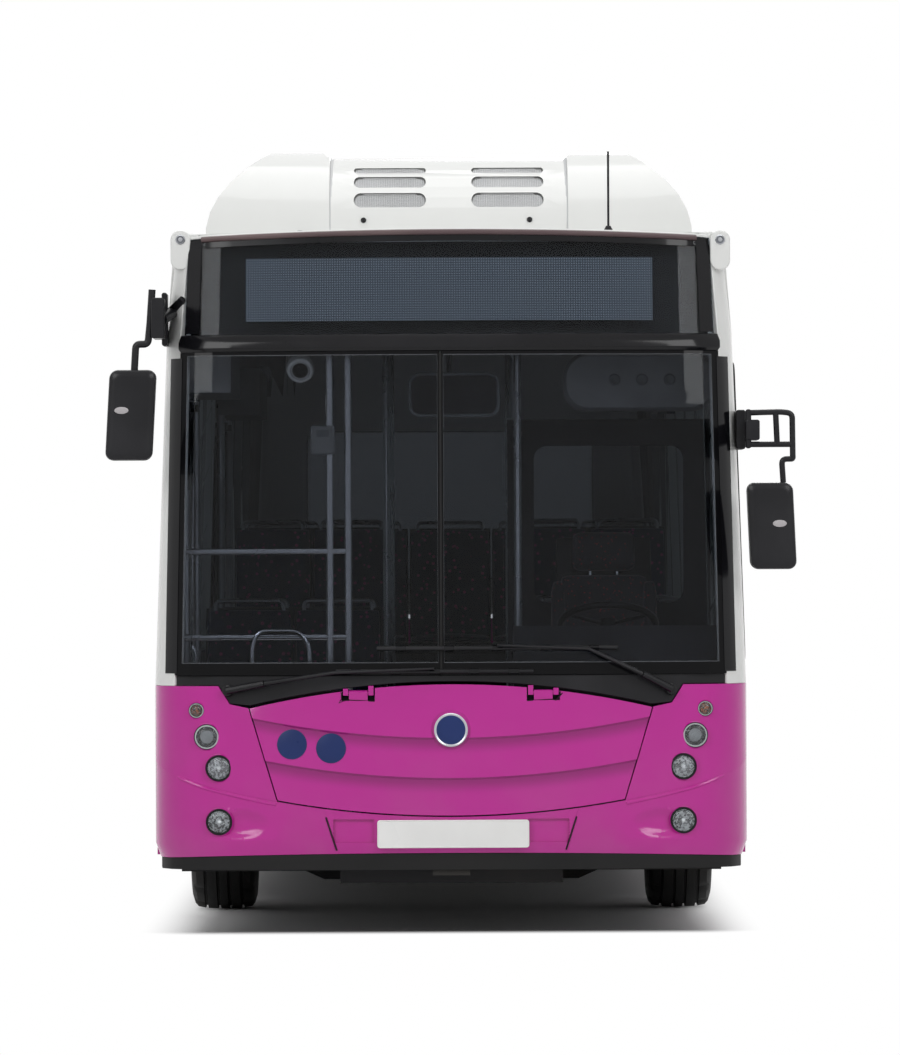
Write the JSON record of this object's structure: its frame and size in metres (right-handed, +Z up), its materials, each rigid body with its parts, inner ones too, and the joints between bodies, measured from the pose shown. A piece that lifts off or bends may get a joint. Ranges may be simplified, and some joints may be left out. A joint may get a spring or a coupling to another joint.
{
  "type": "city bus",
  "caption": "Low-floor single-deck city bus with a bowed glass front, folding doors, roof fairing, steered front wheels and twin rear wheels.",
  "frame": {"origin": "middle of the box round the bus, on the road", "axes": "+X to the driver side, front faces -Y, +Z up"},
  "size_m": [2.95, 12.0208, 3.422],
  "materials": {
    "chassis_black": "satin",
    "floor_cover": "matte",
    "white_paint": "gloss",
    "magenta_paint": "gloss",
    "dark_glass": "polished",
    "display": "matte",
    "clear_glass": "polished",
    "black_trim": "satin",
    "lamp_glass": "gloss",
    "red_lens": "gloss",
    "steel": "satin",
    "inner_panel": "satin",
    "seat_fabric": "woven",
    "driver_fabric": "woven",
    "rail_steel": "satin",
    "tyre": "matte",
    "rim_paint": "satin",
    "door_frame": "satin"
  },
  "bodies": {
    "body": {"chassis_frame": "chassis_black", "low_floor": "floor_cover", "rear_deck": "floor_cover", "wheel_boxes": "chassis_black", "wall_driver_side": "white_paint", "wall_door_side": "white_paint", "roof": "white_paint", "rear_end": "white_paint", "front_mask": "white_paint", "sign_glass": "dark_glass", "sign_display": "display", "ledge": "black_trim", "windscreen": "clear_glass", "cowl": "black_trim", "front_corners": "magenta_paint", "bumper": "magenta_paint", "valance": "black_trim", "headlamps": "lamp_glass", "wipers": "black_trim", "mirror_door_side": "black_trim", "mirror_driver_side": "black_trim", "roof_pods": "white_paint", "roof_unit": "white_paint", "antenna": "black_trim", "panes": "clear_glass", "rear_lamps": "red_lens", "flap_hinges": "steel", "driver_platform": "floor_cover", "dashboard": "black_trim", "driver_seat": "driver_fabric", "partition": "inner_panel", "passenger_seats": "seat_fabric", "handrails": "rail_steel", "interior_mirror": "black_trim", "engine_block": "chassis_black", "rear_axle": "chassis_black", "front_axle": "chassis_black", "door_housings": "inner_panel"},
    "front_wheel_left": {"tyre_front_left": "tyre", "rim_front_left": "rim_paint"},
    "front_wheel_right": {"tyre_front_right": "tyre", "rim_front_right": "rim_paint"},
    "rear_wheels_left": {"tyres_rear_left": "tyre", "rim_rear_left": "rim_paint"},
    "rear_wheels_right": {"tyres_rear_right": "tyre", "rim_rear_right": "rim_paint"},
    "knuckle_left": {"knuckle_left": "steel"},
    "knuckle_right": {"knuckle_right": "steel"},
    "front_flap": {"front_flap": "magenta_paint"},
    "engine_flap": {"engine_flap": "magenta_paint"},
    "steering_wheel": {"steering_wheel": "black_trim"},
    "arm_front_a": {"arm_front_a": "steel"},
    "leaf_front_a": {"leaf_front_a": "door_frame"},
    "arm_front_b": {"arm_front_b": "steel"},
    "leaf_front_b": {"leaf_front_b": "door_frame"},
    "arm_middle_a": {"arm_middle_a": "steel"},
    "leaf_middle_a": {"leaf_middle_a": "door_frame"},
    "arm_middle_b": {"arm_middle_b": "steel"},
    "leaf_middle_b": {"leaf_middle_b": "door_frame"}
  },
  "joints": [
    {"name": "steer_left", "type": "hinge", "parent": "body", "child": "knuckle_left", "pos_m": [-0.902, -3.25, 0.5], "axis": [0, 0, 1], "range_deg": [-42, 42]},
    {"name": "steer_right", "type": "hinge", "parent": "body", "child": "knuckle_right", "pos_m": [0.902, -3.25, 0.5], "axis": [0, 0, 1], "range_deg": [-42, 42]},
    {"name": "steering_wheel_turn", "type": "hinge", "parent": "body", "child": "steering_wheel", "pos_m": [0.69, -5.14, 1.33], "axis": [0, 0.4226, 0.9063], "range_deg": [-840, 840]},
    {"name": "spin_front_left", "type": "hinge", "parent": "knuckle_left", "child": "front_wheel_left", "pos_m": [-1.052, -3.25, 0.5], "axis": [1, 0, 0], "continuous": true},
    {"name": "spin_front_right", "type": "hinge", "parent": "knuckle_right", "child": "front_wheel_right", "pos_m": [1.052, -3.25, 0.5], "axis": [1, 0, 0], "continuous": true},
    {"name": "spin_rear_left", "type": "hinge", "parent": "body", "child": "rear_wheels_left", "pos_m": [-1.052, 2.65, 0.5], "axis": [1, 0, 0], "continuous": true},
    {"name": "spin_rear_right", "type": "hinge", "parent": "body", "child": "rear_wheels_right", "pos_m": [1.052, 2.65, 0.5], "axis": [1, 0, 0], "continuous": true},
    {"name": "flap_lift", "type": "hinge", "parent": "body", "child": "front_flap", "pos_m": [0, -5.95993, 1.05084], "axis": [-1, 0, 0], "range_deg": [0, 85]},
    {"name": "engine_flap_lift", "type": "hinge", "parent": "body", "child": "engine_flap", "pos_m": [0, 5.9621, 1.252], "axis": [1, 0, 0], "range_deg": [0, 80]},
    {"name": "door_front_a", "type": "hinge", "parent": "body", "child": "arm_front_a", "pos_m": [-1.14826, -5.466, 0], "axis": [0, 0, -1], "range_deg": [0, 79]},
    {"name": "leaf_front_a_turn", "type": "hinge", "parent": "arm_front_a", "child": "leaf_front_a", "pos_m": [-1.14826, -5.153, 0], "axis": [0, 0, -1], "range_deg": [-158, 0]},
    {"name": "door_front_b", "type": "hinge", "parent": "body", "child": "arm_front_b", "pos_m": [-1.14826, -4.164, 0], "axis": [0, 0, 1], "range_deg": [0, 79]},
    {"name": "leaf_front_b_turn", "type": "hinge", "parent": "arm_front_b", "child": "leaf_front_b", "pos_m": [-1.14826, -4.477, 0], "axis": [0, 0, 1], "range_deg": [-158, 0]},
    {"name": "door_middle_a", "type": "hinge", "parent": "body", "child": "arm_middle_a", "pos_m": [-1.14826, -0.726, 0], "axis": [0, 0, -1], "range_deg": [0, 79]},
    {"name": "leaf_middle_a_turn", "type": "hinge", "parent": "arm_middle_a", "child": "leaf_middle_a", "pos_m": [-1.14826, -0.413, 0], "axis": [0, 0, -1], "range_deg": [-158, 0]},
    {"name": "door_middle_b", "type": "hinge", "parent": "body", "child": "arm_middle_b", "pos_m": [-1.14826, 0.576, 0], "axis": [0, 0, 1], "range_deg": [0, 79]},
    {"name": "leaf_middle_b_turn", "type": "hinge", "parent": "arm_middle_b", "child": "leaf_middle_b", "pos_m": [-1.14826, 0.263, 0], "axis": [0, 0, 1], "range_deg": [-158, 0]}
  ],
  "couplings": [
    {"joint": "steer_right", "follows": "steer_left", "ratio": 1},
    {"joint": "steering_wheel_turn", "follows": "steer_left", "ratio": 20},
    {"joint": "leaf_front_a_turn", "follows": "door_front_a", "ratio": -2},
    {"joint": "leaf_front_b_turn", "follows": "door_front_b", "ratio": -2},
    {"joint": "leaf_middle_a_turn", "follows": "door_middle_a", "ratio": -2},
    {"joint": "leaf_middle_b_turn", "follows": "door_middle_b", "ratio": -2}
  ]
}
